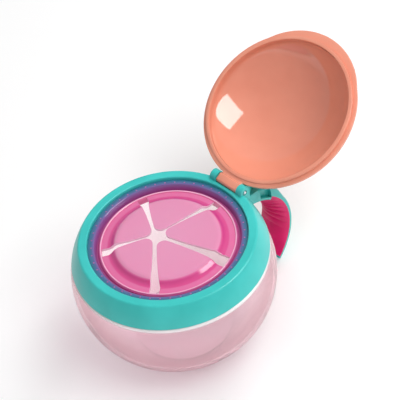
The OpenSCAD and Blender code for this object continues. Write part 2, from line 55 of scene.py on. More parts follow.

# Colours of the clear wall by height, in millimetres: the thick foot is pinker
# than the thin side, and the shoulder under the collar is painted white as a
# highlight line
bowl_tint_and_shoulder_highlight = (
    (0, "f3dfe6"),
    (14, "f5eaed"),
    (34, "f8f3f4"),
    (51.3, "f8f4f5"),
    (51.8, "ffffff"),
    (53, "ffffff"),
)
wall_edge_on = "b05f72"
melt_tint = "ef6ca4"
light_left_by_bowl = "f1f4f3"


def linear(hex_colour):
    """Turns an sRGB hex colour into linear red, green, blue and alpha."""
    shares = [int(hex_colour[k : k + 2], 16) / 255 for k in (0, 2, 4)]
    return [s / 12.92 if s <= 0.04045 else ((s + 0.055) / 1.055) ** 2.4 for s in shares] + [1.0]


def add_node(tree, kind, settings=None, links=None):
    """Adds a shader node, sets its sockets and options, and links what feeds it."""
    node = tree.nodes.new(kind)
    for name, value in (settings or {}).items():
        if isinstance(name, str) and hasattr(node, name):
            setattr(node, name, value)
        else:
            node.inputs[name].default_value = value
    for name, source in (links or {}).items():
        tree.links.new(source, node.inputs[name])
    return node


def empty_material(name):
    """A material with only its output node."""
    material = bpy.data.materials.new(name)
    material.use_nodes = True
    tree = material.node_tree
    tree.nodes.clear()
    return material, tree, tree.nodes.new("ShaderNodeOutputMaterial")


def paint(obj, material):
    """Gives the whole object one material."""
    obj.data.materials.clear()
    obj.data.materials.append(material)
    obj.data.polygons.foreach_set("material_index", [0] * len(obj.data.polygons))


def colour_run(tree, source, stops, reach):
    """Colours that follow a value; the stops are (value, colour), up to reach."""
    run = add_node(tree, "ShaderNodeValToRGB", {}, {"Fac": source})
    for k, (value, colour) in enumerate(stops):
        stop = run.color_ramp.elements[k] if k < 2 else run.color_ramp.elements.new(value / reach)
        stop.position = value / reach
        stop.color = linear(colour)
    return run.outputs["Color"]


def let_light_through(tree, output, shader, light_left):
    """Lamps shine through the surface, and the colour is what is left of them."""
    crossing = add_node(tree, "ShaderNodeBsdfTransparent", {"Color": linear(light_left)})
    rays = add_node(tree, "ShaderNodeLightPath")
    surface = add_node(
        tree, "ShaderNodeMixShader", {},
        {0: rays.outputs["Is Shadow Ray"], 1: shader.outputs["BSDF"], 2: crossing.outputs["BSDF"]},
    )
    tree.links.new(surface.outputs[0], output.inputs["Surface"])


def clear_copolyester():
    """Clear tinted copolyester, moulded and polished: glossy and see-through
    with a faint milkiness, and deeper pink where the wall is seen edge on.
    The white band at the shoulder under the collar is a painted highlight."""
    material, tree, output = empty_material("clear_pink_copolyester_moulded")
    place = add_node(tree, "ShaderNodeTexCoord")
    split = add_node(tree, "ShaderNodeSeparateXYZ", {}, {"Vector": place.outputs["Object"]})
    height = add_node(
        tree, "ShaderNodeMath", {"operation": "DIVIDE", 1: bowl_top_z * mm},
        {0: split.outputs["Z"]},
    )
    # The wall is a little uneven where the melt swirled
    swirls = add_node(
        tree, "ShaderNodeTexNoise", {"Scale": 1 / (swirl_mm * mm), "Detail": 1.0},
        {"Vector": place.outputs["Object"]},
    )
    relief = add_node(
        tree, "ShaderNodeBump", {"Strength": 0.12, "Distance": swirl_depth * mm},
        {"Height": swirls.outputs["Fac"]},
    )
    # Seen edge on, the eye looks through more of the tinted wall
    edge_on = add_node(tree, "ShaderNodeLayerWeight", {"Blend": 0.4})
    depth = add_node(
        tree, "ShaderNodeMapRange", {"From Min": 0.28, "From Max": 0.82, "To Max": 1.0},
        {"Value": edge_on.outputs["Facing"]},
    )
    by_height = colour_run(tree, height.outputs[0], bowl_tint_and_shoulder_highlight, bowl_top_z)
    tint_by_depth = add_node(
        tree, "ShaderNodeMixRGB", {2: linear(wall_edge_on)}, {0: depth.outputs["Result"], 1: by_height}
    )
    # Painted highlight: the shoulder right under the collar is made less clear,
    # so that its white shows as a bright line
    clear = add_node(
        tree, "ShaderNodeMapRange",
        {"From Min": shoulder_highlight_low / bowl_top_z, "From Max": shoulder_highlight_high / bowl_top_z,
         "To Min": 0.92, "To Max": 0.2},
        {"Value": height.outputs[0]},
    )
    wall = add_node(
        tree, "ShaderNodeBsdfPrincipled", {"Roughness": 0.06, "IOR": 1.45},
        {"Base Color": tint_by_depth.outputs[0], "Transmission Weight": clear.outputs["Result"],
         "Normal": relief.outputs["Normal"]},
    )
    let_light_through(tree, output, wall, light_left_by_bowl)
    tint = add_node(
        tree, "ShaderNodeVolumeAbsorption", {"Color": linear(melt_tint), "Density": 47}
    )
    tree.links.new(tint.outputs[0], output.inputs["Volume"])
    return material


paint(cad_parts["bowl"], clear_copolyester())

# Collar: turquoise polypropylene, injection moulded, that turns on to the
# bowl's neck. It carries the hinge ears and the stub of the handle.
turquoise = "3fc8c3"
turquoise_deep = "38bdb8"


def moulded_plastic(
    name, colour, deeper, roughness, texture_mm, texture_depth, flow_mm=14, polish=0.0
):
    """Solid-coloured moulded plastic: a soft sheen, and very faint clouds of
    colour where the melt flowed. The texture of the tool is finer on the real
    one and drawn as coarse as it needs to show. Polish adds a clear gloss."""
    material, tree, output = empty_material(name)
    place = add_node(tree, "ShaderNodeTexCoord")
    cloud_low, cloud_high = 0.3, 0.7
    clouds = add_node(
        tree, "ShaderNodeTexNoise", {"Scale": 1 / (flow_mm * mm), "Detail": 2.0},
        {"Vector": place.outputs["Object"]},
    )
    cloudy = colour_run(
        tree, clouds.outputs["Fac"], ((cloud_low, deeper), (cloud_high, colour)), 1
    )
    shine = add_node(
        tree, "ShaderNodeMapRange",
        {"From Min": cloud_low, "From Max": cloud_high,
         "To Min": roughness * 0.88, "To Max": roughness * 1.12},
        {"Value": clouds.outputs["Fac"]},
    )
    grain = add_node(
        tree, "ShaderNodeTexNoise", {"Scale": 1 / (texture_mm * mm), "Detail": 3.0},
        {"Vector": place.outputs["Object"]},
    )
    relief = add_node(
        tree, "ShaderNodeBump", {"Strength": texture_depth, "Distance": 0.05 * mm},
        {"Height": grain.outputs["Fac"]},
    )
    shader = add_node(
        tree, "ShaderNodeBsdfPrincipled",
        {"IOR": 1.49, "Coat Weight": polish, "Coat Roughness": 0.05},
        {"Base Color": cloudy, "Roughness": shine.outputs["Result"],
         "Normal": relief.outputs["Normal"]},
    )
    tree.links.new(shader.outputs["BSDF"], output.inputs["Surface"])
    return material


# Polypropylene from a finely etched tool: a satin sheen without sharp mirrors
turquoise_polypropylene = moulded_plastic(
    "turquoise_polypropylene_moulded", turquoise, turquoise_deep, 0.34, 0.5, 0.25
)
paint(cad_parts["collar"], turquoise_polypropylene)

# Handle: the same turquoise polypropylene, moulded by itself and pushed on to
# the collar's stub, where the seam shows.
paint(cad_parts["handle"], turquoise_polypropylene)

# Grip: soft magenta elastomer, moulded over the inside of the hook. Its upper
# half has rounded ribs for a small hand, and the lower half runs out smooth.
magenta = "ea0a72"
magenta_deep = "de0668"
hook_y, hook_z = 38.3, 25.5
hook_face_r = 29.5
grip_t = 4.0
grip_half_w = 9.1
grip_low_angle, grip_top_angle = -48.0, 46.0
grip_full = 1.7
grip_rings, grip_steps = 150, 32
tip_share, tip_angle = 0.35, 26
rib_count = 7
rib_first, rib_step = 40.0, 8.4
rib_height = 2.1
rib_slant = 7
rib_fade, rib_fade_from = 0.75, 3.0
rib_round, rib_side_round = 0.75, 0.35


def mesh_object(name, points, faces, body=None):
    """A smooth mesh object from points in millimetres."""
    mesh = bpy.data.meshes.new(name)
    mesh.from_pydata([tuple(v * mm for v in p) for p in points], [], faces)
    mesh.polygons.foreach_set("use_smooth", [True] * len(mesh.polygons))
    obj = bpy.data.objects.new(name, mesh)
    bpy.context.scene.collection.objects.link(obj)
    if body:
        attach(obj, body)
    return obj


def tidy_mesh(obj, bevel=0.0, sharp=35.0):
    """Joins doubled points, faces all sides outwards, rounds the edges sharper
    than the angle by the bevel in millimetres, and marks what stays sharp."""
    shape = bmesh.new()
    shape.from_mesh(obj.data)
    bmesh.ops.remove_doubles(shape, verts=shape.verts, dist=0.01 * mm)
    bmesh.ops.dissolve_degenerate(shape, edges=shape.edges, dist=0.005 * mm)
    bmesh.ops.recalc_face_normals(shape, faces=shape.faces)
    limit = math.radians(sharp)
    if bevel:
        edges = [e for e in shape.edges if e.is_manifold and e.calc_face_angle() > limit]
        bmesh.ops.bevel(
            shape, geom=edges, offset=bevel * mm, offset_type="OFFSET", segments=2,
            profile=0.6, affect="EDGES", clamp_overlap=True,
        )
    for e in shape.edges:
        e.smooth = not e.is_manifold or e.calc_face_angle() < limit
    shape.to_mesh(obj.data)
    shape.free()
    obj.data.polygons.foreach_set("use_smooth", [True] * len(obj.data.polygons))
    return obj


def soft_step(low, high, x):
    """0 below low, 1 above high, and a smooth run between them."""
    t = min(max((x - low) / (high - low), 0), 1)
    return t * t * (3 - 2 * t)


def rib(angle, across):
    """Height of the ribs at an angle on the hook, across the grip from 0 to 1."""
    # Ribs slant: they reach further down the hook towards the sides
    place = (rib_first - angle - rib_slant * (2 * across - 1) ** 2) / rib_step
    if not -0.5 < place < rib_count - 0.5:
        return 0
    # Round ridges with narrow valleys between them, lower towards the tip
    near = place - round(place)
    crest = max(1 - (2 * near) ** 2, 0) ** rib_round
    fade = 1 - rib_fade * soft_step(rib_fade_from, rib_count - 0.5, place)
    return rib_height * fade * crest * math.sin(math.pi * across) ** rib_side_round


def grip_points():
    """Points round the grip's section, in rings from its top to its tip."""
    power = 2 / grip_full
    points = []
    for j in range(grip_rings + 1):
        angle = grip_top_angle + (grip_low_angle - grip_top_angle) * j / grip_rings
        turn = math.radians(angle)
        # The tip runs out thin against the hook's end
        full = soft_step(grip_low_angle - 1, grip_low_angle + tip_angle, angle)
        thick = grip_t * (tip_share + (1 - tip_share) * full)
        for k in range(grip_steps + 1):
            across = k / grip_steps
            a = math.pi * across
            sine, cosine = math.sin(a), math.cos(a)
            deep = (thick + rib(angle, across)) * max(sine, 0) ** power
            x = math.copysign(abs(cosine) ** power, cosine) * grip_half_w
            r = hook_face_r - deep
            points.append((x, hook_y + r * math.cos(turn), hook_z + r * math.sin(turn)))
    return points


def ring_faces(rings, width):
    """Quads between rings of points that are closed across, with both ends."""
    faces = []
    for j in range(rings):
        for k in range(width):
            n = (k + 1) % width
            faces.append((j * width + k, j * width + n, (j + 1) * width + n, (j + 1) * width + k))
    faces.append(tuple(range(width)))
    faces.append(tuple(rings * width + k for k in reversed(range(width))))
    return faces


grip = mesh_object("grip_soft", grip_points(), ring_faces(grip_rings, grip_steps + 1), "collar")
tidy_mesh(grip, sharp=60)
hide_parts("grip")
# Soft elastomer from a matt tool: a dull, even surface that doesn't slip
magenta_elastomer = moulded_plastic(
    "magenta_elastomer_moulded", magenta, magenta_deep, 0.5, 0.35, 0.5, 9
)
paint(grip, magenta_elastomer)

# Flaps: the star that the flat top of a soft pink moulding is cut into, so a
# hand can reach in. It is a see-through elastomer, thin on top and thick in the
# round band. On the real one each flap bends as one sheet with its share of the
# band, and each is drawn as such a sheet.
disc_z = 62.7
flap_t = 1.2
flap_edge_round = 0.28
crest_r, crest_curve = 22.9, 4.4
band_lean = 45.0
valley_curve = 3.6
shelf_lean = 5.0
shelf_end_r = 31.35
star_hub = Vector((-6.4, -2.0))
flap_count = 5
slot_first, slot_end_r = 15.0, 28.4
slot_widths = (2.3, 1.1, 1.5, 1.5, 1.9)
slot_flares = (6.2, 4.6, 4.8, 4.4, 4.8)
flare_power = 3
tip_r = 3.4
tip_steps, side_steps, flap_columns = 10, 46, 30
side_spread, slot_stride = 0.9, 0.001
bow_from, bow_to = 0.25, 0.8
steep_face, shelf_end_band = 0.35, 0.3
film_out_r = 37.5
soft_ripple_mm = 6

# Colours of the moulding by distance from the bowl's axis, in millimetres: pale
# on the flaps, deep in the band, a painted highlight line on the bead at the
# shelf's end, painted shade darkening the groove, and purple and blue where it
# laps over the turquoise ledge
moulding_tint_highlight_and_shade = (
    (0, "de95b8"),
    (24.6, "df8fb4"),
    (25.2, "d85a98"),
    (25.8, "d2428a"),
    (28.0, "d84c8f"),
    (28.9, "dd6fa3"),
    (31.2, "de6c9f"),
    # Painted highlight line on the bead at the shelf's end
    (31.55, "f3bcd6"),
    (31.8, "e8a0c4"),
    # Painted shade darkening the groove
    (32.2, "bf4c88"),
    (33.0, "a83f7c"),
    (34.0, "8b4a8c"),
    (34.9, "6a609c"),
    (36.0, "3f6d92"),
    (37.5, "2a6f86"),
)
# The cut edges are painted pale, as a highlight
cut_edge_highlight_pink = "eebcd4"
light_left_by_moulding = "f6ecf1"


def turned(degrees):
    """The unit vector at an angle from +X."""
    a = math.radians(degrees)
    return Vector((math.cos(a), math.sin(a)))


def translucent_elastomer():
    """See-through pink elastomer, moulded and polished: it glows where light
    crosses it, and changes with what it covers. Its cut edges are painted pale
    as a highlight, a highlight line is painted on the bead at the shelf's end,
    and shade is painted into the groove."""
    material, tree, output = empty_material("pink_elastomer_moulded")
    radius = add_node(tree, "ShaderNodeAttribute", {"attribute_name": "radius_mm"})
    share = add_node(
        tree, "ShaderNodeMath", {"operation": "DIVIDE", 1: film_out_r}, {0: radius.outputs["Fac"]}
    )
    body = colour_run(tree, share.outputs[0], moulding_tint_highlight_and_shade, film_out_r)
    # Painted highlight: the cut edges are made paler
    cut = add_node(tree, "ShaderNodeAttribute", {"attribute_name": "cut_edge"})
    edge = add_node(
        tree, "ShaderNodeMixRGB", {2: linear(cut_edge_highlight_pink)}, {0: cut.outputs["Fac"], 1: body}
    )
    place = add_node(tree, "ShaderNodeTexCoord")
    ripple = add_node(
        tree, "ShaderNodeTexNoise", {"Scale": 1 / (soft_ripple_mm * mm), "Detail": 1.0},
        {"Vector": place.outputs["Object"]},
    )
    relief = add_node(
        tree, "ShaderNodeBump", {"Strength": 0.1, "Distance": 0.1 * mm},
        {"Height": ripple.outputs["Fac"]},
    )
    soft = add_node(
        tree, "ShaderNodeBsdfPrincipled",
        {"Roughness": 0.14, "IOR": 1.45, "Coat Weight": 0.8, "Coat Roughness": 0.06,
         "Subsurface Weight": 0.3, "Subsurface Scale": 2 * mm,
         "Subsurface Radius": (1.0, 0.35, 0.6)},
        {"Base Color": edge.outputs[0], "Normal": relief.outputs["Normal"]},
    )
    let_light_through(tree, output, soft, light_left_by_moulding)
    return material


pink_elastomer = translucent_elastomer()


def top_line(r):
    """Height and slope of the moulding's top at a distance from the axis."""
    lean, shelf = math.radians(band_lean), math.radians(shelf_lean)
    crest_z = disc_z - crest_curve
    valley_r = crest_r + (crest_curve + valley_curve) * math.sin(lean)
    valley_z = crest_z + (crest_curve + valley_curve) * math.cos(lean)
    shelf_r = valley_r - valley_curve * math.sin(shelf)
    shelf_start_z = valley_z - valley_curve * math.cos(shelf)
    if r <= crest_r:
        return disc_z, 0.0
    if r <= crest_r + crest_curve * math.sin(lean):
        slope = math.asin((r - crest_r) / crest_curve)
        return crest_z + crest_curve * math.cos(slope), slope
    if r <= shelf_r:
        slope = math.asin((valley_r - r) / valley_curve)
        return valley_z - valley_curve * math.cos(slope), slope
    return shelf_start_z - (r - shelf_r) * math.tan(shelf), shelf


def slot_direction(i):
    """The unit vector from the axis to the outer end of slot i."""
    return turned(slot_first + i * 360 / flap_count)


def slot_vector(i):
    """From the star's hub to the outer end of slot i."""
    return slot_end_r * slot_direction(i) - star_hub


def slot_side(i, side, q):
    """A point beside slot i at a share q of its length, and on past its end."""
    along = slot_vector(i)
    unit = along.normalized()
    narrow, wide = slot_widths[i % flap_count], slot_flares[i % flap_count]
    half = narrow / 2 + (wide - narrow) / 2 * min(q, 1) ** flare_power
    point = star_hub + min(q, 1) * along + side * half * Vector((-unit.y, unit.x))
    if q <= 1:
        return point
    return point + (q - 1) * along.length * slot_direction(i)


def flap_sides(i):
    """The two sides of flap i, as equally many points from its tip outwards."""
    first, second = slot_vector(i).normalized(), slot_vector(i + 1).normalized()
    normals = Vector((-first.y, first.x)), Vector((second.y, -second.x))
    near, far = [tip_r + slot_widths[k % flap_count] / 2 for k in (i, i + 1)]
    # The round tip touches both sides: its middle is that far from each slot
    cross = normals[0].x * normals[1].y - normals[0].y * normals[1].x
    middle = Vector((
        (near * normals[1].y - far * normals[0].y) / cross,
        (far * normals[0].x - near * normals[1].x) / cross,
    ))
    apex = -(normals[0] + normals[1])
    lead = math.atan2(apex.y, apex.x)
    sides = []
    for side, slot, normal in ((1, i, normals[0]), (-1, i + 1, normals[1])):
        swing = apex.angle(-normal) * side
        points = []
        for k in range(tip_steps):
            a = lead + swing * k / tip_steps
            points.append(star_hub + middle + tip_r * Vector((math.cos(a), math.sin(a))))
        # The straight part starts where the tip ends, and stops at the shelf's end
        from_share = middle.dot(slot_vector(slot)) / slot_vector(slot).length ** 2
        to_share = 1.0
        while slot_side(slot, side, to_share).length < shelf_end_r:
            to_share += slot_stride
        for k in range(side_steps + 1):
            share = from_share + (to_share - from_share) * (k / side_steps) ** side_spread
            points.append(slot_side(slot, side, share))
        sides.append(points)
    return sides


def flap_mesh(i):
    """Flap i with its share of the band: a closed sheet, curved down outside."""
    left, right = flap_sides(i)
    rows, columns = len(left), flap_columns
    top, bottom, faces = [], [], []
    for j in range(rows):
        # Rows are straight near the tip and turn into arcs round the axis
        bowed = soft_step(bow_from, bow_to, j / (rows - 1))
        start = math.atan2(left[j].y, left[j].x)
        sweep = (math.atan2(right[j].y, right[j].x) - start) % (2 * math.pi)
        for k in range(columns + 1):
            t = k / columns
            p = left[j].lerp(right[j], t)
            if bowed > 0:
                r = left[j].length + (right[j].length - left[j].length) * t
                a = start + sweep * t
                p = p.lerp(Vector((r * math.cos(a), r * math.sin(a))), bowed)
            z, slope = top_line(p.length)
            top.append((p.x, p.y, z))
            inner = 1 - flap_t * math.sin(slope) / max(p.length, 1)
            bottom.append((p.x * inner, p.y * inner, z - flap_t * math.cos(slope)))
    n, w = len(top), columns + 1
    for j in range(rows - 1):
        for k in range(columns):
            q = (j * w + k, j * w + k + 1, (j + 1) * w + k + 1, (j + 1) * w + k)
            faces.append(q)
            faces.append(tuple(n + v for v in reversed(q)))
    rim = [j * w for j in range(rows)] + [(rows - 1) * w + k for k in range(1, w)]
    rim += [j * w + columns for j in reversed(range(rows - 1))]
    rim += [k for k in reversed(range(1, columns))]
    for a, b in zip(rim, rim[1:] + rim[:1]):
        faces.append((a, b, n + b, n + a))
    return top + bottom, faces


def mark_moulding(obj, has_cuts=True):
    """Stores each point's distance from the axis, and whether it is on a cut."""
    mesh = obj.data
    radius = mesh.attributes.new("radius_mm", "FLOAT", "POINT")
    cut = mesh.attributes.new("cut_edge", "FLOAT", "POINT")
    reach = [v.co.xy.length / mm for v in mesh.vertices]
    cuts = [0.0] * len(reach)
    if has_cuts:
        # A cut is a steep face that isn't at the moulding's outer end
        for face in mesh.polygons:
            if abs(face.normal.z) < steep_face:
                for v in face.vertices:
                    if reach[v] < shelf_end_r - shelf_end_band:
                        cuts[v] = 1.0
    radius.data.foreach_set("value", reach)
    cut.data.foreach_set("value", cuts)


for i in range(flap_count):
    name = "flap_%d" % (i + 1)
    points, faces = flap_mesh(i)
    flap = tidy_mesh(mesh_object(name + "_soft", points, faces), flap_edge_round, 50)
    mark_moulding(flap)
    paint(flap, pink_elastomer)
    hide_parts(name)
    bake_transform(flap)

# Flap ring: the rest of the same soft moulding. A bead ends the shelf, a groove
# and a thin film run out over the collar's ledge, and a wall below them plugs
# into the collar.
ring_in_r = 31.1
ring_wall_in_r, ring_wall_h = 31.3, 5.2
bead_r, bead_out, bead_drop = 0.55, 0.6, 0.05
shelf_edge_drop = 0.25
groove_r, groove_z, groove_curve = 33.2, 59.0, 0.6
groove_start_r, groove_start_up = 32.6, 1.0
film_start_r, film_curve = 35.2, 1.0
ledge_z = 61.8
film_t = 0.38
film_edge_round = 0.2
plug_in_r = 35.6
ring_steps = 288


def arc(centre, r, from_angle, to_angle, steps):
    """Points of an arc in a section."""
    return [
        tuple(Vector(centre) + r * turned(from_angle + (to_angle - from_angle) * k / steps))
        for k in range(steps + 1)
    ]


def faces_round(steps, width, gap=None):
    """Quads between sections that stand round an axis, with none at the gap."""
    faces = []
    for j in range(steps):
        n = (j + 1) % steps
        for k in range(width):
            m = (k + 1) % width
            if k != gap:
                faces.append((j * width + k, j * width + m, n * width + m, n * width + k))
    return faces


def revolve(name, section, steps, body):
    """A closed section turned once round the bowl's axis."""
    points = []
    for j in range(steps):
        a = 2 * math.pi * j / steps
        points += [(r * math.cos(a), r * math.sin(a), z) for r, z in section]
    return mesh_object(name, points, faces_round(steps, len(section)), body)


shelf_z = top_line(ring_in_r)[0]
film_z = ledge_z + film_t
wall_low_z = ledge_z - ring_wall_h
ring_section = (
    [(ring_in_r, shelf_z - flap_t), (ring_in_r, shelf_z - shelf_edge_drop)]
    + arc((ring_in_r + bead_out, shelf_z - bead_drop), bead_r, 175, 10, 9)
    + [(groove_start_r, groove_z + groove_start_up)]
    + arc((groove_r, groove_z + groove_curve), groove_curve, 190, 300, 6)
    + arc((film_start_r, film_z - film_curve), film_curve, 140, 90, 5)
    + arc((film_out_r - film_edge_round, film_z - film_edge_round), film_edge_round, 90, 0, 4)
    + [(film_out_r, ledge_z), (plug_in_r, ledge_z)]
    + [(plug_in_r, wall_low_z), (ring_wall_in_r, wall_low_z)]
)
ring = tidy_mesh(revolve("flap_ring_soft", ring_section, ring_steps, "collar"), sharp=40)
mark_moulding(ring, False)
paint(ring, pink_elastomer)
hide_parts("flap_ring")

# Anchor dots: where the soft moulding has flowed through small holes in the
# collar's ledge, it shows as a ring of pink dots.
dot_count, dot_ring_r, dot_r = 48, 35.75, 0.42
dot_offset = 0.3
dot_sides = 12
# Each ring of a dot's points, as (height over the film, share of its radius)
dot_rings = ((-0.05, 1.0), (0.005, 0.95), (0.01, 0.55))

points, faces = [], []
neighbours = [(k, (k + 1) % dot_sides) for k in range(dot_sides)]
for i in range(dot_count):
    at = dot_ring_r * turned((i + dot_offset) * 360 / dot_count)
    first = len(points)
    for up, share in dot_rings:
        for k in range(dot_sides):
            p = at + dot_r * share * turned(k * 360 / dot_sides)
            points.append((p.x, p.y, film_z + up))
    points.append((at.x, at.y, film_z + dot_rings[-1][0]))
    for low in (first, first + dot_sides):
        high = low + dot_sides
        faces += [(low + k, low + n, high + n, high + k) for k, n in neighbours]
    faces += [(high + k, high + n, high + dot_sides) for k, n in neighbours]
    faces.append(tuple(first + k for k in reversed(range(dot_sides))))
dots = mesh_object("anchor_dots", points, faces, "collar")
# The same elastomer, darker with the turquoise round it: small dull dots
paint(dots, moulded_plastic("pink_elastomer_in_the_ledge", "b0559c", "a04c96", 0.35, 0.5, 0.2))

# Lid: coral polypropylene, moulded with a polished tool on its inside, so the
# softbox shows in its hollow. A skirt plugs the opening, and a tongue with a
# barrel turns on the pin between the ears. It is drawn closed and swung open.
coral = "ec987e"
coral_deep = "e89278"
hinge_y, hinge_z = 41.6, 64.5
open_angle = -153.5
flange_r, flange_low, flange_top = 39.2, 63.9, 65.4
flange_round, flange_corner = 0.4, 0.12
thumb_d, thumb_arc = 2.4, 46.0
skirt_low, skirt_out, skirt_in = 62.2, 37.3, 35.6
skirt_relief, relief_below = 1.1, 0.4
relief_from, relief_full = 0.6, 0.92
outer_round, outer_corner = 0.3, 0.08
inner_round, inner_corner = 0.25, 0.07
wall_heights = (63.6, 64.8)
wall_top, wall_round = 66.2, 0.6
hollow_edge = 0.3
dome_base, dome_top = 37.7, 86.6
dome_fillet, skirt_fillet = 0.5, 0.35
hollow_top = 84.8
notch_y, notch_x = 38.35, 10.5
notch_round_out, notch_round_in = 1.6, 0.4
barrel_r, barrel_half_w = 2.4, 6.3
lid_steps, cap_steps = 240, 40


def swung_open(p):
    """A point of the closed lid, turned about the pin to where it stands open."""
    a = math.radians(open_angle)
    y, z = p[1] - hinge_y, p[2] - hinge_z
    return (
        p[0],
        hinge_y + y * math.cos(a) - z * math.sin(a),
        hinge_z + y * math.sin(a) + z * math.cos(a),
    )


def cap(base, low, top, steps):
    """Points up a round cap between its base and its top, as (radius, height)."""
    high = top - low
    r = (base * base + high * high) / (2 * high)
    start = math.asin(base / r)
    angles = [start * (1 - k / steps) for k in range(1, steps)]
    return [(r * math.sin(a), top - r + r * math.cos(a)) for a in angles]


def flange_reach(angle):
    """Distance of the flange's edge from the lid's axis: round, with the thumb
    lip opposite the hinge and a notch for the ears beside it."""
    front = flange_r * math.cos(math.radians(thumb_arc))
    reach = flange_r + thumb_d
    centre = (reach * reach - flange_r * flange_r) / (2 * (reach - front))
    lip_r = reach - centre
    away = angle + math.pi / 2
    inside = lip_r * lip_r - (centre * math.sin(away)) ** 2
    r = flange_r
    if inside > 0:
        r = max(flange_r, centre * math.cos(away) + math.sqrt(inside))
    # The notch's corners are rounded
    across = abs(r * math.cos(angle))
    if math.sin(angle) > 0:
        flat = notch_y / math.sin(angle)
        in_notch = soft_step(notch_x + notch_round_out, notch_x - notch_round_in, across)
        r -= (r - min(r, flat)) * in_notch
    return r


def lid_points():
    """The open lid: inside from the skirt to the top, then outside down to the
    flange and the skirt, for each direction round its axis."""
    hollow = [
        (skirt_in + inner_round, skirt_low),
        (skirt_in + inner_corner, skirt_low + inner_corner),
        (skirt_in, skirt_low + inner_round),
    ]
    hollow += [(skirt_in, z) for z in wall_heights]
    hollow += [(skirt_in, wall_top - wall_round), (skirt_in - hollow_edge / 2, wall_top - 0.05)]
    hollow += cap(skirt_in - hollow_edge, wall_top + hollow_edge, hollow_top, cap_steps)
    outside = cap(dome_base, flange_top, dome_top, cap_steps)[::-1]
    outside += [(dome_base + dome_fillet / 5, flange_top + dome_fillet / 5)]
    skirt = [
        (skirt_out, flange_low),
        (skirt_out, skirt_low + outer_round),
        (skirt_out - outer_corner, skirt_low + outer_corner),
        (skirt_out - outer_round, skirt_low),
    ]
    points = []
    for j in range(lid_steps):
        a = 2 * math.pi * j / lid_steps
        edge = flange_reach(a)
        # In the notch the edge comes close to the dome and to the skirt, so the
        # flange's inner ends stay inside it
        rim = [
            (min(dome_base + dome_fillet, edge - 0.1), flange_top),
            (edge - flange_round, flange_top),
            (edge - flange_corner, flange_top - flange_corner),
            (edge, flange_top - flange_round),
            (edge, flange_low + flange_round),
            (edge - flange_corner, flange_low + flange_corner),
            (edge - flange_round, flange_low),
            (min(skirt_out + skirt_fillet, edge - 0.5), flange_low),
        ]
        # The skirt is shorter by the hinge, so that it swings clear of the collar
        relief = skirt_relief * soft_step(relief_from, relief_full, math.sin(a))
        section = hollow + outside + rim + skirt
        for r, z in section:
            if z < skirt_low + relief_below:
                z += relief
            points.append(swung_open((r * math.cos(a), r * math.sin(a), z)))
    return points, len(section), len(hollow)


# Between the hollow's top and the dome's top the section is open, and each of
# them is closed with a point on the axis
points, width, hollow_count = lid_points()
faces = faces_round(lid_steps, width, hollow_count - 1)
inner_pole, outer_pole = len(points), len(points) + 1
points += [swung_open((0, 0, hollow_top)), swung_open((0, 0, dome_top))]
for j in range(lid_steps):
    n = (j + 1) % lid_steps
    faces.append((j * width + hollow_count - 1, inner_pole, n * width + hollow_count - 1))
    faces.append((j * width + hollow_count, n * width + hollow_count, outer_pole))
lid = tidy_mesh(mesh_object("lid_shell", points, faces, "lid"), sharp=32)
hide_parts("lid")

# The tongue: a flat plate that runs from under the flange round the barrel
flat_z = hinge_z - 1.95
flat_start_y, flat_end_y = 40.0, 42.9
tongue_edge_round = 0.2
tongue_inset = 0.03
crook = 0.2
side_line = (
    [(36.6, flange_low + tongue_inset), (39.0, flange_low + tongue_inset)]
    + arc((hinge_y, hinge_z), barrel_r + crook, 195, 226, 4)
    + [(flat_start_y, flat_z), (flat_end_y, flat_z)]
    + arc((hinge_y, hinge_z), barrel_r, -55, 128, 16)
    + [(39.2, flange_top - 0.05), (36.9, flange_top - tongue_inset)]
)
points = []
for x in (-barrel_half_w, barrel_half_w):
    points += [swung_open((x, y, z)) for y, z in side_line]
count = len(side_line)
faces = [(k, (k + 1) % count, count + (k + 1) % count, count + k) for k in range(count)]
faces += [tuple(reversed(range(count))), tuple(range(count, 2 * count))]
tongue = tidy_mesh(mesh_object("lid_tongue", points, faces, "lid"), tongue_edge_round, 50)
# Polypropylene from a polished tool: a smooth gloss that mirrors the softbox
coral_polypropylene = moulded_plastic(
    "coral_polypropylene_moulded", coral, coral_deep, 0.09, 0.8, 0.05, polish=1.0
)
for part in (lid, tongue):
    paint(part, coral_polypropylene)

# Hinge pin: drawn steel wire, driven through the ears. Its ends are domed and
# lie in a small countersink, which shows as a dark ring.
ear_gap, ear_w = 0.35, 3.5
ear_out_x = barrel_half_w + ear_gap + ear_w
pin_turn_steps = 32
draw_mark_mm = 0.25
# Both as (distance out from the ear, radius)
pin_end = ((-0.1, 0.0), (-0.1, 0.85), (0.05, 0.85), (0.2, 0.6), (0.27, 0.3), (0.29, 0.0))
countersink = ((-0.1, 0.8), (0.01, 0.85), (0.03, 1.0), (0.03, 1.35), (-0.1, 1.4), (-0.1, 0.8))


def drawn_steel():
    """Drawn and rolled steel wire: bright, with fine dull marks."""
    material, tree, output = empty_material("drawn_steel_wire")
    place = add_node(tree, "ShaderNodeTexCoord")
    marks = add_node(
        tree, "ShaderNodeTexNoise", {"Scale": 1 / (draw_mark_mm * mm), "Detail": 2.0},
        {"Vector": place.outputs["Object"]},
    )
    shine = add_node(
        tree, "ShaderNodeMapRange", {"To Min": 0.18, "To Max": 0.34}, {"Value": marks.outputs["Fac"]}
    )
    shader = add_node(
        tree, "ShaderNodeBsdfPrincipled", {"Base Color": linear("dcdcde"), "Metallic": 1.0},
        {"Roughness": shine.outputs["Result"]},
    )
    tree.links.new(shader.outputs["BSDF"], output.inputs["Surface"])
    return material


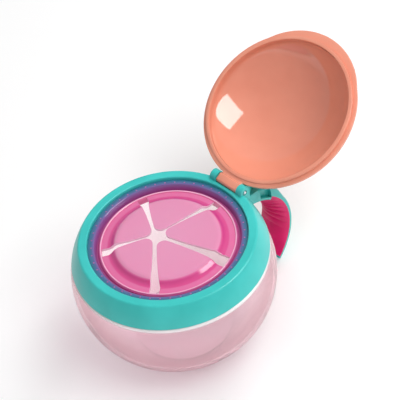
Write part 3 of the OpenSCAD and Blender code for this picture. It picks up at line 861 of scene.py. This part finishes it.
def turned_about_pin(name, section, side):
    """A section of (distance out from the ear, radius), turned about the pin."""
    points = []
    for j in range(pin_turn_steps):
        a = 2 * math.pi * j / pin_turn_steps
        for out, r in section:
            x = side * (ear_out_x + out)
            points.append((x, hinge_y + r * math.cos(a), hinge_z + r * math.sin(a)))
    width = len(section)
    faces = faces_round(pin_turn_steps, width, width - 1)
    return tidy_mesh(mesh_object(name, points, faces, "collar"), sharp=60)


steel = drawn_steel()
paint(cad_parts["hinge_pin"], steel)
# The collar's polypropylene, deep in the shade of the countersink: a dark ring
shaded_polypropylene = moulded_plastic(
    "turquoise_in_shade_moulded", "1f7f80", "1b7475", 0.45, 0.5, 0.2
)
for side, word in ((-1, "left"), (1, "right")):
    head = turned_about_pin("pin_end_" + word, pin_end, side)
    paint(head, steel)
    well = turned_about_pin("countersink_" + word, countersink, side)
    paint(well, shaded_polypropylene)

# Stage: a sheet of white paper, a white room and three softboxes. They are not
# part of the object.
floor_half = 3000
floor_drop = 0.3
paper_white = "fbfbfb"
paper_glow = 0.02
paper_glow_through = 0.36
room_white = "ffffff"
object_light = 0.42
softbox_aim = Vector((0, 0, 0.06))


def white_paper():
    """White studio paper: plain and matt."""
    material, tree, output = empty_material("white_studio_paper")
    shader = add_node(
        tree, "ShaderNodeBsdfPrincipled",
        {"Base Color": linear(paper_white), "Roughness": 0.9, "Specular IOR Level": 0.1},
    )
    # The camera sees the paper a little lighter, so that it fades into white,
    # and lighter still through the clear bowl
    rays = add_node(tree, "ShaderNodeLightPath")
    seen = add_node(
        tree, "ShaderNodeMath", {"operation": "MULTIPLY", 1: paper_glow},
        {0: rays.outputs["Is Camera Ray"]},
    )
    glow = add_node(
        tree, "ShaderNodeMath", {"operation": "MULTIPLY_ADD", 1: paper_glow_through},
        {0: rays.outputs["Is Transmission Ray"], 2: seen.outputs[0]},
    )
    lift = add_node(
        tree, "ShaderNodeEmission", {"Color": linear(room_white)}, {"Strength": glow.outputs[0]}
    )
    both = add_node(
        tree, "ShaderNodeAddShader", {}, {0: shader.outputs["BSDF"], 1: lift.outputs["Emission"]}
    )
    tree.links.new(both.outputs[0], output.inputs["Surface"])
    return material


floor = mesh_object(
    "floor",
    [(-floor_half, -floor_half, -floor_drop), (floor_half, -floor_half, -floor_drop),
     (floor_half, floor_half, -floor_drop), (-floor_half, floor_half, -floor_drop)],
    [(0, 1, 2, 3)],
)
paint(floor, white_paper())


def softbox(name, azimuth, elevation, distance, width, power, tilt=0):
    """A square softbox that looks at the object from a direction in degrees."""
    light = bpy.data.lights.new(name, "AREA")
    light.shape = "SQUARE"
    light.size = width
    light.energy = power
    lamp = bpy.data.objects.new(name, light)
    bpy.context.scene.collection.objects.link(lamp)
    a, e = math.radians(azimuth), math.radians(elevation)
    away = Vector((math.cos(a) * math.cos(e), math.sin(a) * math.cos(e), math.sin(e)))
    lamp.location = away * distance + softbox_aim
    facing = away.to_track_quat("Z", "Y").to_matrix() @ Matrix.Rotation(math.radians(tilt), 3, "Z")
    lamp.rotation_euler = facing.to_euler()
    # Its light crosses the bowl as shadow rays alone, so it isn't counted twice
    lamp.visible_transmission = False
    return lamp


# The key only shows as a patch in glossy plastic; the other two light the
# shapes, and nothing shiny shows them
softbox("key_softbox", 36, 41, 0.9, 0.48, 4.9, -21).visible_diffuse = False
softbox("main_softbox", 12, 59, 1.0, 0.6, 5.8).visible_glossy = False
softbox("back_softbox", 92, 48, 1.2, 0.6, 5.6).visible_glossy = False

# The room is plain white to the eye, also through the bowl, and lights the
# object more weakly than that
world = bpy.data.worlds.new("studio")
bpy.context.scene.world = world
world.use_nodes = True
room = world.node_tree
room.nodes.clear()
rays = add_node(room, "ShaderNodeLightPath")
seen = add_node(
    room, "ShaderNodeMath", {"operation": "MAXIMUM"},
    {0: rays.outputs["Is Camera Ray"], 1: rays.outputs["Is Transmission Ray"]},
)
strength = add_node(
    room, "ShaderNodeMath", {"operation": "MULTIPLY_ADD", 1: 1 - object_light, 2: object_light},
    {0: seen.outputs[0]},
)
walls = add_node(
    room, "ShaderNodeBackground", {"Color": linear(room_white)}, {"Strength": strength.outputs[0]}
)
add_node(room, "ShaderNodeOutputWorld", {}, {"Surface": walls.outputs[0]})

# Camera: where the photograph was taken from, worked out from the rims of the
# collar, the opening and the lid.
photo_px = 400
focal_px = 2083.035
photo_elevation = math.radians(46.703)
photo_roll = math.radians(-10.674)
photo_turn = math.radians(52.4)
photo_distance = 1.0
aim_right, aim_up = 0.007929, 0.055141
base_up = 0.007

forward = Vector((0, math.cos(photo_elevation), -math.sin(photo_elevation)))
level = Vector((1, 0, 0))
upright = level.cross(forward)
right = math.cos(photo_roll) * level + math.sin(photo_roll) * upright
up = -math.sin(photo_roll) * level + math.cos(photo_roll) * upright
eye = aim_right * right + aim_up * up - photo_distance * forward
turn = Matrix.Rotation(photo_turn, 4, "Z")
pose = Matrix((
    (right.x, up.x, -forward.x, eye.x),
    (right.y, up.y, -forward.y, eye.y),
    (right.z, up.z, -forward.z, eye.z),
    (0, 0, 0, 1),
))
camera_data = bpy.data.cameras.new("photo_camera")
camera_data.sensor_width = 36
camera_data.lens = focal_px * camera_data.sensor_width / photo_px
camera_data.clip_start = 0.05
camera_data.clip_end = 20
camera = bpy.data.objects.new("photo_camera", camera_data)
bpy.context.scene.collection.objects.link(camera)
camera.matrix_world = Matrix.Translation((0, 0, base_up)) @ turn @ pose
bpy.context.scene.camera = camera
bpy.context.scene.view_settings.view_transform = "Standard"
